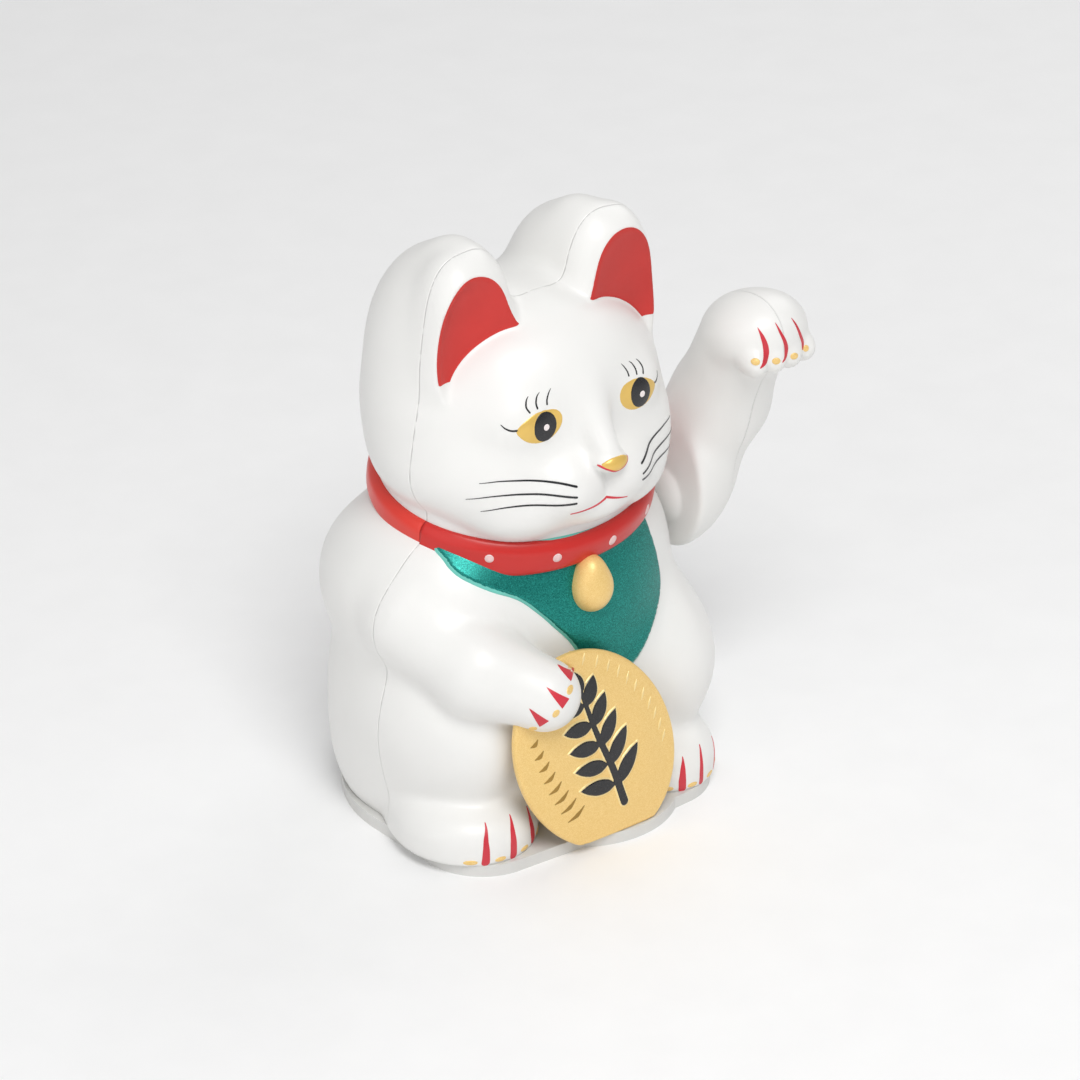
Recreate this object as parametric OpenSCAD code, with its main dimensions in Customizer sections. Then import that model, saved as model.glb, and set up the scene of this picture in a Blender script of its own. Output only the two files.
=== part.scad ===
// Beckoning cat figurine: a hollow two-half cat on a base plate, holding an oval coin,
// with one raised arm that rocks on a steel axle above a coil and magnet.
// Millimetres. +Z up, the cat faces -Y, its raised left arm is on +X.
// Origin: centre of the underside of the base plate, on the body's plane of symmetry.

/* [Body] */
// width of the body at the haunches
body_w = 90; // [80:1:100]
// depth of the lower body
body_d = 67; // [60:1:76]
// wall thickness of the moulded halves
wall = 2; // [1.6:0.1:2.6]
// where the front and rear halves meet, along Y
seam_y = -3; // [-6:0.5:4]
// width of each foot
foot_w = 30; // [24:0.5:32]

/* [Head] */
// width of the head
head_w = 73; // [66:1:80]
// height of the middle of the head above the ground
head_z = 101; // [97:0.5:104]
// height of the ears' top
ear_top = 145; // [138:0.5:150]
// distance of each ear's middle from the plane of symmetry
ear_x = 22; // [19:0.5:25]

/* [Collar, bib and bell] */
// height of the collar band
collar_h = 8; // [5:0.5:9]
// thickness of the collar band
collar_t = 2.4; // [1.6:0.1:3]
// dip of the collar towards the front, in degrees
collar_tilt = 15; // [5:0.5:18]
// half the width of the bib
bib_r = 28; // [22:0.5:31]
// thickness of the bib
bib_t = 0.9; // [0.6:0.1:1.6]
// width of the bell
bell_w = 10.6; // [8:0.2:13]

/* [Coin] */
// width across the oval coin
coin_w = 42; // [34:0.5:44]
// length of the oval coin
coin_l = 55; // [46:0.5:58]
// thickness of the coin
coin_t = 2.6; // [2:0.1:4]
// lean of the coin to the cat's right
coin_lean = 30; // [10:1:40]

/* [Raised arm] */
// radius of the upper arm
arm_r = 11.5; // [10.5:0.1:12]
// wall thickness of the arm
arm_wall = 1.4; // [1.2:0.1:2]
// height of the axle
axle_z = 60; // [57:0.5:62]
// radius of the steel axle
axle_r = 1.25; // [1:0.05:1.5]
// radial running clearance of the axle
axle_gap = 0.05; // [0.02:0.01:0.1]

/* [Pendulum and coil] */
// radius of the disc magnet
magnet_r = 5.5; // [4:0.1:6]
// radius of the coil bobbin
bobbin_r = 7; // [5:0.1:7.4]
// setback of the counterweight behind the axle
weight_back = 2.9; // [-2:0.05:9]

/* [Base and battery] */
// width of the base plate
base_w = 86; // [78:1:92]
// thickness of the base plate
base_t = 3; // [2.6:0.1:4]
// battery diameter
cell_d = 14.5; // [13.5:0.1:14.5]
// battery length with its button
cell_l = 50.5; // [49.5:0.1:50.5]
// play of the sliding battery door
door_gap = 0.2; // [0.1:0.05:0.4]

/* [Which piece] */
// piece to draw

/* [Hidden] */
$fn = 48;
facets = 24;
axle_y = 4;
seat_x = 42.4;             // flat on the body's side, beside the arm
arm_flat = 43.2;           // flat on the arm's inner side
arm_mid = 54.6;            // plane where the arm's halves meet
base_cy = 4.5;
base_d = base_w * 0.895;
neck_c = [0, 6, 80];
collar_c = [0, 6.15, 79.4];
neck = [32.4, 28.8];
coin_c = [-6, -33, 25.2];
cell_y = 21.5;
cell_z = base_t + cell_d / 2 - 0.2;
bay_w = cell_d + 1.1;
bay_x = 28.5;              // half of the bay's inner length
posts = [[-12, -19.5], [12, -19.5], [-12, 34.2], [12, 34.2]];
frame_x = [15, 32.6];      // the two uprights
frame_y = [-13, 11.8];     // front and back of the axle frame's foot
screw_y = [-10, 9.4];      // screws of the axle frame and the board
upright_t = 2.4;
lever_x = (frame_x[0] + upright_t + frame_x[1]) / 2;
switch_p = [-30, -6];

// ---- shapes ----
// an ellipsoid, grown by g
module blob(c, r, a = [0, 0, 0], g = 0) {
  translate(c) rotate(a) hull() scale([r[0] + g, r[1] + g, r[2] + g]) sphere(1, $fn = facets);
}
// an oval drum, round in plan and squarer from the side, grown by g
module drum(c, r, e, g = 0, a = [0, 0, 0]) {
  t = [-0.98, -0.86, -0.62, -0.24, 0.24, 0.62, 0.86, 0.98];
  translate(c) rotate(a) hull() scale([r[0] + g, r[1] + g, r[2] + g]) rotate_extrude($fn = 28)
    polygon(concat([[0, -0.98]], [for (u = t) [pow(1 - pow(abs(u), e), 1 / e), u]], [[0, 0.98]]));
}
module limb(a, b, ra, rb) {
  hull() {
    translate(a) sphere(ra, $fn = facets);
    translate(b) sphere(rb, $fn = facets);
  }
}
module both() {
  children();
  mirror([1, 0, 0]) children();
}
module rod_x(x0, x1, y, z, r) {
  translate([x0, y, z]) rotate([0, 90, 0]) cylinder(h = x1 - x0, r = r);
}
module box(a, b) {
  translate(a) cube(b - a);
}

// ---- the cat's outer form ----
module chest(g = 0) {
  drum([0, 8, 46.05], [body_w * 0.439, body_d * 0.493, 42], 2.3, g);
  blob([-24, 8, 56], [body_w / 2 - 23.5, 28.5, 22], g = g);
  blob([21, 11, 55], [body_w / 2 - 25.5, 24, 19], g = g);
  drum(neck_c, [neck[0] + 0.2, neck[1] + 0.2, 9], 4, g, [collar_tilt, 0, 0]);
}
module lower(g = 0) {
  both() drum([17.5, 6.1, 22], [body_w / 2 - 19.5, body_d * 0.47, 28], 2.7, g);
  both() blob([25.6, -5.3, 29.1], [body_w / 2 - 26.4, 22.4, 19.4], g = g);
  drum([0, 10, 22], [body_w * 0.478, body_d * 0.5, 36], 2.8, g);
}
module feet(g = 0) {
  drum([-29, -13.6, 6], [foot_w / 2 + 1.5, 18, 9.5], 2.6, g);
  drum([24.5, -14.5, 6], [foot_w / 2 - 0.5, 18, 9.5], 2.6, g);
}
module folded_arm(g = 0) {
  limb([-34, -2, 56], [-29, -20, 48], 12.5 + g, 10.5 + g);
  limb([-29, -20, 48], [-19.5, -31.5, 43.5], 10.5 + g, 8.5 + g);
}
module skull(g = 0) {
  blob([0, 6.5, head_z], [head_w * 0.493, 30.5, 27], g = g);
  blob([0, 3.5, head_z - 9.5], [head_w * 0.496, 28.5, 19], g = g);
}
module face() {
  both() blob([12.5, -8, head_z - 9.5], [17.5, 16, 13.5]);
  blob([0, -2, head_z + 12], [24, 20, 16]);
  both() blob([6.4, -22.5, head_z - 10.6], [9.2, 8.6, 8]);
  limb([0, -20, head_z + 10], [0, -29.2, head_z - 2], 4, 3);
  blob([0, -22.3, head_z - 16.5], [8.5, 7, 5.5]);
  blob([0, -30.4, head_z - 4.2], [4.2, 3.4, 2.5]);
  both() blob([12.5, -12.5, head_z - 16.5], [13, 12.5, 9]);
}
module ears() {
  both() {
    drum([ear_x - 1.8, 1.5, ear_top - 24.5], [12.2, 24, 13], 2.6, 0, [90, -8, 0]);
    blob([ear_x - 2.5, 11, ear_top - 29], [14.5, 15, 23.5], [0, -6, 0]);
    blob([ear_x + 0.8, -2, ear_top - 15], [7.5, 9, 13]);
  }
}
module ear_cups() {
  both() drum([ear_x - 1.8, -13, ear_top - 20], [10.8, 18.5, 5.5], 2.6, 0, [90, -9, 16]);
}
module cat_skin() {
  difference() {
    union() {
      chest();
      lower();
      feet();
      folded_arm();
      difference() {
        union() {
          skull();
          face();
        }
        both() blob([14.5, -38.5, head_z + 5.5], [9, 14.5, 9]);
      }
      both() blob([14.2, -13.3, head_z + 4.9], [10, 9.6, 8]);
      difference() {
        ears();
        ear_cups();
      }
    }
    collar_ring(0.15);
    arm_seat();
    box([-80, -80, -20], [80, 80, base_t + 0.05]);
  }
}
module cat_hollow() {
  chest(-wall);
  lower(-wall);
  feet(-wall);
  skull(-wall);
  both() blob([ear_x, 10, ear_top - 30], [10, 9, 17], [0, -8, 0]);
  // room beside the axle frame
  box([0, frame_y[0] - 0.4, 0], [frame_x[1] + upright_t + 0.35, frame_y[1] + 0.4, 5.5]);
  box([0, axle_y - 5, 0], [frame_x[1] + upright_t + 0.35, axle_y + 5, axle_z + 5]);
}
module arm_seat() {
  rod_x(seat_x, 60, axle_y, axle_z, 17);
}
// the band round the neck, with g of room all round
module collar_ring(g = 0) {
  translate(collar_c) rotate([collar_tilt, 0, 0]) translate([0, 0, -collar_h / 2 - g])
    difference() {
      linear_extrude(collar_h + 2 * g)
        scale([neck[0] + collar_t + g, neck[1] + collar_t + g]) circle(1, $fn = 96);
      translate([0, 0, -1]) linear_extrude(collar_h + 2 * g + 2)
        scale([neck[0] - g, neck[1] - g]) circle(1, $fn = 96);
    }
}

// ---- shells ----
module shell_half(front) {
  difference() {
    union() {
      difference() {
        cat_skin();
        cat_hollow();
      }
      intersection() {
        cat_skin();
        for (p = posts) {
          out = p[1] < 0 ? -14 : 14;
          translate([p[0], p[1], base_t]) cylinder(h = 16, r = 3.2, $fn = 24);
          box([p[0] - 1, min(p[1], p[1] + out), base_t], [p[0] + 1, max(p[1], p[1] + out), 15]);
        }
      }
    }
    box([-80, front ? seam_y : -80, -1], [80, front ? 80 : seam_y, 180]);
    for (p = posts) translate([p[0], p[1], base_t - 1]) cylinder(h = 14, r = 1.2, $fn = 24);
    rod_x(seat_x - 12, 60, axle_y, axle_z, 3.2);
  }
}
module front_shell() {
  color("white") shell_half(true);
}
module rear_shell() {
  color("white") shell_half(false);
}

// ---- collar, bib, bell ----
module collar_half(front) {
  difference() {
    collar_ring();
    box([-80, front ? seam_y : -80, 0], [80, front ? 80 : seam_y, 180]);
  }
}
module collar_front() {
  color("firebrick") collar_half(true);
}
module collar_rear() {
  color("firebrick") collar_half(false);
}
module bib() {
  color("teal") difference() {
    intersection() {
      chest(bib_t);
      translate([0, seam_y, 62]) rotate([90, 0, 0])
        scale([bib_r, 25, 1]) cylinder(h = 60, r = 1);
    }
    chest(0.05);
    lower(0.05);
    folded_arm(0.1);
    collar_ring(0.15);
    translate(neck_c) rotate([collar_tilt, 0, 0]) box([-80, -80, 0], [80, 80, 40]);
    blob([0, -25, 62], [bell_w / 2, 5, 7.2], g = 0.1);
  }
}
module bell() {
  color("goldenrod") difference() {
    blob([0, -25, 62], [bell_w / 2, 5, 7.2]);
    chest(0.05);
    collar_ring(0.15);
  }
}

// ---- coin ----
module coin_frame() {
  translate(coin_c) rotate([-8, 0, 0]) rotate([0, -coin_lean, 0]) children();
}
module coin_plate() {
  coin_frame() rotate([90, 0, 0]) translate([0, 0, -coin_t / 2]) difference() {
    scale([coin_w / 2, coin_l / 2, 1]) cylinder(h = coin_t, r = 1, $fn = 72);
    // fields of short notches along the two long edges
    for (s = [-1, 1], i = [-3 : 3])
      translate([s * (coin_w / 2 - 4.6 - abs(i) * 0.42), i * 4.6, coin_t - 0.45])
        rotate([0, 0, 90 - s * 12]) translate([-0.5, -1.8, 0]) cube([1, 3.6, 1]);
  }
}
module coin() {
  color("goldenrod") difference() {
    coin_plate();
    folded_arm(0.15);
    lower(0.1);
    feet(0.1);
    chest(0.1);
    box([-60, -60, -20], [60, 0, base_t + 0.05]);
  }
}
// a sprig of leaves: one stem and pairs of broad leaves
module coin_sprig() {
  color("black") difference() {
    coin_frame() rotate([90, 0, 0]) translate([0, 0, coin_t / 2 + 0.02]) {
      translate([-0.7, -17, 0]) cube([1.4, 31, 0.6]);
      for (i = [0 : 3], s = [-1, 1])
        translate([s * 0.7, -11 + i * 6.4, 0]) rotate([0, 0, s * -38]) translate([s * 4.6, 0, 0])
          scale([4.6, 1.5, 1]) cylinder(h = 0.6, r = 1, $fn = 24);
    }
    folded_arm(0.2);
  }
}

// ---- base ----
module base_outline(g = 0) {
  hull() {
    translate([0, base_cy]) scale([base_w / 2 + g, base_d / 2 + g]) circle(1, $fn = 96);
    translate([-26.5, -17]) scale([15.5 + g, 15.7 + g]) circle(1, $fn = 60);
    translate([22, -17]) scale([15 + g, 15.7 + g]) circle(1, $fn = 60);
  }
  translate([4, -21.5]) scale([20 + g, 16.2 + g]) circle(1, $fn = 72);
}
module base_plate() {
  color("gainsboro") difference() {
    union() {
      linear_extrude(base_t) base_outline();
      intersection() {
        box([-bay_x - 1.4, cell_y - bay_w / 2 - 1.4, base_t],
          [bay_x + 1.4, cell_y + bay_w / 2 + 1.4, 12]);
        translate([0, 10, base_t]) scale([36.4, 27.4, 1]) cylinder(h = 12, r = 1, $fn = 96);
      }
      for (s = [-1, 1]) box([switch_p[0] - 5, switch_p[1] + s * 7.2 - 0.8, base_t],
        [switch_p[0] + 5, switch_p[1] + s * 7.2 + 0.8, 8.6]);
    }
    box([-bay_x, cell_y - bay_w / 2, -1], [bay_x, cell_y + bay_w / 2, 20]);
    box([-bay_x - 1.2, cell_y - bay_w / 2 - 1.4, -1], [60, cell_y + bay_w / 2 + 1.4, 2]);
    box([-bay_x - 1.3, cell_y - bay_w / 2 - 2.5, 0.8], [60, cell_y + bay_w / 2 + 2.5, 1.6]);
    box([switch_p[0] - 1.7, switch_p[1] - 3.9, -1], [switch_p[0] + 1.7, switch_p[1] + 3.9, 4]);
    for (p = posts) translate([p[0], p[1], 0]) {
      translate([0, 0, -1]) cylinder(h = 6, r = 1.5);
      translate([0, 0, -1]) cylinder(h = 2.4, r = 2.9);
    }
    for (y = screw_y) translate([lever_x, y, -1]) cylinder(h = 6, r = 1.3);
    for (y = screw_y) translate([lever_x, y, -1]) cylinder(h = 2.36, r = 2.4);
  }
}
module screw(p, z, head, shank, l) {
  translate([p[0], p[1], z]) difference() {
    union() {
      cylinder(h = 1.2, r = head);
      translate([0, 0, 1.2]) cylinder(h = l, r = shank);
      translate([0, 0, l + 1.2]) cylinder(h = shank, r1 = shank, r2 = 0.2);
    }
    for (a = [0, 90]) rotate([0, 0, a]) translate([-head * 0.6, -0.3, -1]) cube([head * 1.2, 0.6, 1.7]);
  }
}
module base_screws() {
  color("silver") for (p = posts) screw(p, 0.2, 2.6, 1.1, 11);
}
module battery_door() {
  w = bay_w / 2 + 1.4 - door_gap;
  color("gainsboro") difference() {
    union() {
      intersection() {
        box([-bay_x - 1, cell_y - w, 0.1], [60, cell_y + w, 1.9]);
        linear_extrude(3) base_outline(-0.1);
      }
      intersection() {
        box([-bay_x - 1, cell_y - w - 0.9, 0.95], [60, cell_y + w + 0.9, 1.45]);
        linear_extrude(3) base_outline(-0.1);
      }
    }
    for (i = [0 : 4]) box([18 + i * 2, cell_y - 4, -1], [18.8 + i * 2, cell_y + 4, 0.5]);
  }
}
module battery_cell() {
  color("dimgray") {
    rod_x(-cell_l / 2 + 1.2, cell_l / 2, cell_y, cell_z, cell_d / 2);
    rod_x(-cell_l / 2, -cell_l / 2 + 1.2, cell_y, cell_z, 2.7);
  }
}
module contact_plate() {
  color("silver") {
    box([-bay_x + 0.05, cell_y - 4.5, 4], [-bay_x + 0.55, cell_y + 4.5, 14.6]);
    rod_x(-bay_x + 0.55, -cell_l / 2 - 0.05, cell_y, cell_z, 2);
  }
}
module contact_spring() {
  turns = 4;
  rise = (bay_x - 0.6 - cell_l / 2 - 0.2) / turns;
  color("silver") {
    box([bay_x - 0.55, cell_y - 4.5, 4], [bay_x - 0.05, cell_y + 4.5, 14.6]);
    for (i = [0 : turns - 1]) translate([cell_l / 2 + 0.45 + i * rise, cell_y, cell_z])
      rotate([0, 90, 0]) rotate_extrude() translate([2.4 + i * 0.5, 0]) circle(0.35, $fn = 16);
    rod_x(cell_l / 2 + 0.45, bay_x - 0.55, cell_y, cell_z + 2.9, 0.5);
  }
}

// ---- switch ----
module switch_case() {
  x = switch_p[0];
  y = switch_p[1];
  color("silver") difference() {
    box([x - 3.2, y - 6.2, base_t + 0.05], [x + 3.2, y + 6.2, 8]);
    box([x - 1.9, y - 4.1, base_t - 1], [x + 1.9, y + 4.1, 6.6]);
  }
}
module switch_knob() {
  x = switch_p[0];
  y = switch_p[1];
  color("black") {
    box([x - 1.4, y - 3.6, 0.5], [x + 1.4, y - 0.6, 6.2]);
  }
}

// ---- raised arm ----
module arm_form(g = 0) {
  m = [arm_mid + 0.2, -1.5, axle_z + 24];
  limb([arm_mid - 2.1, axle_y, axle_z + 6], m, arm_r + g, arm_r - 0.7 + g);
  limb(m, [arm_mid + 0.8, -10, axle_z + 43], arm_r - 0.7 + g, 10.4 + g);
  blob([arm_flat + 0.8, axle_y, axle_z + 0.5], [19, 16, 16], g = g);
  blob([arm_mid + 1.4, -14.5, axle_z + 46.5], [11.5, 11.5, 9.4], [-20, 0, 0], g);
}
module toes() {
  for (i = [0 : 3]) blob([arm_mid - 6 + i * 4.8, -22.6 + abs(i - 1.5) * 0.8, axle_z + 43.2],
    [2.9, 4.2, 3.8]);
}
module arm_half(inner) {
  difference() {
    union() {
      difference() {
        union() {
          arm_form();
          toes();
        }
        intersection() {
          arm_form(-arm_wall);
          box([arm_flat + arm_wall, -60, 0], [90, 60, 160]);
        }
      }
      if (inner) rod_x(arm_flat, arm_mid, axle_y, axle_z, 3.6);
    }
    box([inner ? arm_mid : 0, -60, 0], [inner ? 90 : arm_mid, 60, 160]);
    box([0, -60, 0], [arm_flat, 60, 160]);
    rod_x(30, arm_mid + 1, axle_y, axle_z, axle_r + 0.03);
  }
}
module arm_inner_shell() {
  color("white") arm_half(true);
}
module arm_outer_shell() {
  color("white") arm_half(false);
}
module axle() {
  color("silver") rod_x(frame_x[0] - 1, arm_mid - 0.6, axle_y, axle_z, axle_r);
}
module swing_lever() {
  x0 = frame_x[0] + upright_t + 0.4;
  x1 = frame_x[1] - 0.4;
  color("gainsboro") difference() {
    union() {
      rod_x(x0, x1, axle_y, axle_z, 4);
      box([lever_x - 2.5, axle_y - 1.5, 26.5], [lever_x + 2.5, axle_y + 1.5, axle_z]);
      translate([lever_x, axle_y, 24.2]) cylinder(h = 2.4, r = magnet_r + 1);
      translate([lever_x, axle_y, 21.5]) difference() {
        cylinder(h = 2.8, r = magnet_r + 1);
        translate([0, 0, -1]) cylinder(h = 5, r = magnet_r + 0.05);
      }
    }
    rod_x(x0 - 1, x1 + 1, axle_y, axle_z, axle_r + 0.02);
  }
}
module magnet() {
  color("silver") translate([lever_x, axle_y, 20.6]) cylinder(h = 3.5, r = magnet_r);
}
module counterweight() {
  color("dimgray") difference() {
    translate([lever_x - 6.2, axle_y + weight_back - 7, 31]) cube([12.4, 14, 15]);
    box([lever_x - 2.55, axle_y - 1.55, 20], [lever_x + 2.55, axle_y + 1.55, 60]);
  }
}

// ---- axle frame, coil and board ----
module axle_frame() {
  color("gainsboro") difference() {
    union() {
      box([frame_x[0], frame_y[0], base_t + 0.05], [frame_x[1] + upright_t, frame_y[1], 5]);
      for (x = frame_x) {
        box([x, axle_y - 4.5, 4], [x + upright_t, axle_y + 4.5, axle_z]);
        rod_x(x, x + upright_t, axle_y, axle_z, 4.5);
      }
      for (y = screw_y) translate([lever_x, y, 4]) cylinder(h = 4.5, r = 2.4);
    }
    for (x = frame_x) rod_x(x - 1, x + upright_t + 1, axle_y, axle_z, axle_r + axle_gap);
    for (y = screw_y) translate([lever_x, y, 2]) cylinder(h = 10, r = 1.0);
  }
}
module frame_screws() {
  color("silver") for (y = screw_y) screw([lever_x, y], 0.15, 2.2, 0.95, 3.4);
}
module circuit_board() {
  color("darkgreen") difference() {
    box([frame_x[0] + upright_t + 0.4, frame_y[0] + 0.2, 8.6], [frame_x[1] - 0.4, frame_y[1] - 0.2, 10]);
    for (y = screw_y) translate([lever_x, y, 8]) cylinder(h = 4, r = 1.1);
  }
}
module board_screws() {
  color("silver") translate([lever_x, screw_y[0], 11.3]) rotate([180, 0, 0])
    difference() {
      union() {
        cylinder(h = 1.2, r = 1.9);
        translate([0, 0, 1.2]) cylinder(h = 3, r = 0.95);
      }
      translate([-1.2, -0.25, -1]) cube([2.4, 0.5, 1.6]);
    }
}
module coil_bobbin() {
  color("ivory") translate([lever_x, axle_y - 2.4, 10.05]) rotate_extrude()
    polygon([[1.4, 0], [bobbin_r, 0], [bobbin_r, 1], [2.8, 1], [2.8, 7.2], [bobbin_r, 7.2],
      [bobbin_r, 8.2], [1.4, 8.2]]);
}
module coil_winding() {
  color("chocolate") translate([lever_x, axle_y - 2.4, 11.1]) difference() {
    cylinder(h = 6.1, r = bobbin_r - 0.7);
    translate([0, 0, -1]) cylinder(h = 9, r = 2.85);
  }
}
module board_parts() {
  color("black") {
    box([lever_x - 4.8, -7.6, 10.05], [lever_x - 0.8, -5.6, 11.4]);
    translate([lever_x + 4.6, -9.4, 10.05]) cylinder(h = 6, r = 2.1);
    translate([lever_x - 3.4, -11.2, 10.05]) cylinder(h = 3, r = 1.2);
  }
}
// a thin insulated lead through a list of points
module lead(points) {
  for (i = [0 : len(points) - 2]) hull() {
    translate(points[i]) sphere(0.6, $fn = 8);
    translate(points[i + 1]) sphere(0.6, $fn = 8);
  }
}
module lead_red() {
  color("red") lead([[-27.2, 17, 15.2], [-26, 10.6, 16], [-27, 6, 13], [-28, 1.4, 9.8],
    [-29, -1, 8.75]]);
  color("red") lead([[-29, -9, 8.7], [-20, -12, 12], [-4, -12, 13.4], [8, -12, 13],
    [16, -12.4, 11.6], [18.6, -12, 10.7]]);
}
module lead_black() {
  color("black") lead([[27.2, 17, 15.4], [25.6, 12.4, 15.6], [12, 9, 14.4], [11, -4, 13.6],
    [13, -7, 12], [17.2, -7.6, 11.4], [18.8, -7.4, 10.7]]);
}

front_shell();
rear_shell();
collar_front();
collar_rear();
bib();
bell();
coin();
coin_sprig();
base_plate();
base_screws();
battery_door();
battery_cell();
contact_plate();
contact_spring();
switch_case();
switch_knob();
arm_inner_shell();
arm_outer_shell();
swing_lever();
axle();
magnet();
counterweight();
axle_frame();
frame_screws();
coil_bobbin();
coil_winding();
circuit_board();
board_parts();
board_screws();
lead_red();
lead_black();
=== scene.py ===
import math

import bmesh
import bpy
import numpy as np
from mathutils import Matrix, Vector


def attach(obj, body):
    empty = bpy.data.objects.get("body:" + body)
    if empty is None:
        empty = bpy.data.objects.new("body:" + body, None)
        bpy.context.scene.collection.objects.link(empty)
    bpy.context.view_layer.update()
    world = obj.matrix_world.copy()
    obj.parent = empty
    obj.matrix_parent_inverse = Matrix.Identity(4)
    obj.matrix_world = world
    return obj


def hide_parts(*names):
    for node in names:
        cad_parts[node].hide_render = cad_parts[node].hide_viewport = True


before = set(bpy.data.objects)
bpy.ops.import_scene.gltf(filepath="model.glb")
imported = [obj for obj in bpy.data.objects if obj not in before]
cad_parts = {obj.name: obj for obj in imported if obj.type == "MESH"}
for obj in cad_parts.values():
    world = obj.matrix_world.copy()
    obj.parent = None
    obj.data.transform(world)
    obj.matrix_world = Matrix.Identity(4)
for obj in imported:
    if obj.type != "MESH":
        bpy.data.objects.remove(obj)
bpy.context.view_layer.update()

# Lengths below are millimetres until a mesh is made, which turns them into metres.
MM = 0.001
SEAM_Y = -3.0  # where the front and rear halves meet
SEAM_LAP = 0.01  # by how much two white halves run past their seam
COLLAR_GAP = 0.05  # from the seam to each half of the collar
FLOOR_OF_SHELL = 3.06  # the shells' lower edge, just above the base plate
WALL, ARM_WALL = 2.0, 1.4
AXLE = (4.0, 60.0)  # y and z of the raised arm's axle
SEAT_X, SEAT_RADIUS = 42.4, 16.5  # the flat on the body that the arm swings past
ARM_FLAT_X, ARM_SPLIT_X = 43.2, 54.6  # the arm's inner face and its seam
EAR_PAINT_FLOOR = 115.5  # the red in the ears stops at this height
# The folded right arm, and the raised left one.
SHOULDER, ELBOW, PAW_C = (-34, -2, 56), (-29, -20, 48), (-19.5, -31.5, 43.5)
BEND, WRIST = (55.6, -1.5, 84), (55.4, -10, 103)

# ------------------------------------------------------------------ fields


def vec(*a):
    return np.array(a, dtype=np.float32)


def turn(rx=0.0, ry=0.0, rz=0.0):
    """A rotation from angles in degrees, about x, then y, then z."""
    m = Matrix.Rotation(math.radians(rz), 3, "Z")
    m = m @ Matrix.Rotation(math.radians(ry), 3, "Y")
    m = m @ Matrix.Rotation(math.radians(rx), 3, "X")
    return np.array(m, dtype=np.float32)


def local(p, centre, rot=None):
    """Points as seen from a form's own centre and turn."""
    q = p - vec(*centre)
    return q if rot is None else q @ turn(*rot)


def egg(p, centre, r, rot=None):
    """Distance to an ellipsoid, near enough for blending."""
    q = local(p, centre, rot)
    r = vec(*r)
    k0 = np.sqrt(((q / r) ** 2).sum(-1)) + 1e-9
    k1 = np.sqrt(((q / (r * r)) ** 2).sum(-1)) + 1e-9
    return k0 * (k0 - 1) / k1


def drum(p, centre, r, e, rot=None, along_y=False):
    """An oval drum: elliptical across its axis and squarer along it."""
    q = local(p, centre, rot)
    a, b, c = r
    x, y, z = q[..., 0], q[..., 1], q[..., 2]
    if along_y:
        y, z, b, c = z, y, c, b
    rho = np.sqrt((x / a) ** 2 + (y / b) ** 2) + 1e-6
    ze = np.abs(z) / c + 1e-6
    k = (rho ** e + ze ** e) ** (1 / e)
    slope = np.sqrt((x / a ** 2) ** 2 + (y / b ** 2) ** 2) / rho
    g = np.sqrt(((rho / k) ** (e - 1) * slope) ** 2 + ((ze / k) ** (e - 1) / c) ** 2) + 1e-6
    return (k - 1) / g


def limb(p, a, b, ra, rb):
    """Distance to a tapered rod with round ends."""
    a, b = vec(*a), vec(*b)
    ab, q = b - a, p - a
    t = np.clip((q @ ab) / float((ab * ab).sum()), 0, 1)
    return np.linalg.norm(q - t[..., None] * ab, axis=-1) - (ra + (rb - ra) * t)


def join(a, b, k):
    """Both forms as one, with a soft crease of width k."""
    h = np.maximum(k - np.abs(a - b), 0) / k
    return np.minimum(a, b) - h * h * h * k / 6


def cut(a, b, k):
    """Form a without form b, with a soft edge of width k."""
    return -join(-a, b, k)


def ease(lo, hi, x):
    """Goes smoothly from 0 at lo to 1 at hi."""
    t = np.clip((x - lo) / (hi - lo), 0, 1)
    return t * t * (3 - 2 * t)


def fold(p):
    """Points moved to the left side, for forms that are the same on both sides."""
    q = p.copy()
    q[..., 0] = np.abs(q[..., 0])
    return q


def ear_cup(m):
    """The hollow at the front of an ear."""
    return drum(m, (19.4, -13.6, 125), (13, 6, 20.5), 2.6, (0, -13, 14), True)


def ear(m):
    plate = drum(m, (20.2, 1.5, 120.5), (12.2, 13, 24), 2.6, (0, -8, 0), True)
    back = egg(m, (19.5, 11, 116), (14.5, 15, 23.5), (0, -6, 0))
    tip = egg(m, (22.8, -2, 130), (7.5, 9, 13))
    root = egg(m, (13.5, -3, 121), (8.5, 8.5, 10))
    return cut(join(join(join(plate, back, 9), tip, 5), root, 4), ear_cup(m), 1.2)


def dome(p):
    """The head without its ears."""
    m = fold(p)
    skull = egg(p, (0, 6.5, 101), (36, 30.5, 27))
    nape = egg(p, (0, 3.5, 91.5), (36.2, 28.5, 19))
    cheek = egg(m, (12.5, -8, 91.5), (17.5, 16, 13.5))
    brow = egg(p, (0, -2, 111.5), (24, 20, 15.5))
    muzzle = egg(m, (6.4, -22.5, 90.4), (9.2, 8.6, 8))
    bridge = limb(p, (0, -20, 111), (0, -29.2, 99), 4.0, 3.0)
    chin = egg(p, (0, -22.3, 84.5), (8.5, 7, 5.5))
    jaw = egg(m, (12.5, -12.5, 84.5), (13, 12.5, 9))
    socket = egg(m, (14.5, -38.5, 106.5), (9, 14.5, 9))
    eye = egg(m, (14.2, -13.3, 105.9), (10, 9.6, 8))
    nose = egg(p, (0, -30.4, 96.8), (4.2, 3.4, 2.5))
    d = join(join(skull, nape, 8), cheek, 8)
    d = join(join(d, brow, 12), muzzle, 6)
    d = join(join(d, bridge, 6), chin, 5)
    d = cut(join(d, jaw, 9), socket, 8)
    return join(join(d, eye, 6), nose, 2)


def head(p):
    """The ears meet the brow in a crisp crease, and the back of the head in a soft one."""
    return join(dome(p), ear(fold(p)), 1.6 + 6 * ease(-9, 4, p[..., 1]))


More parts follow.
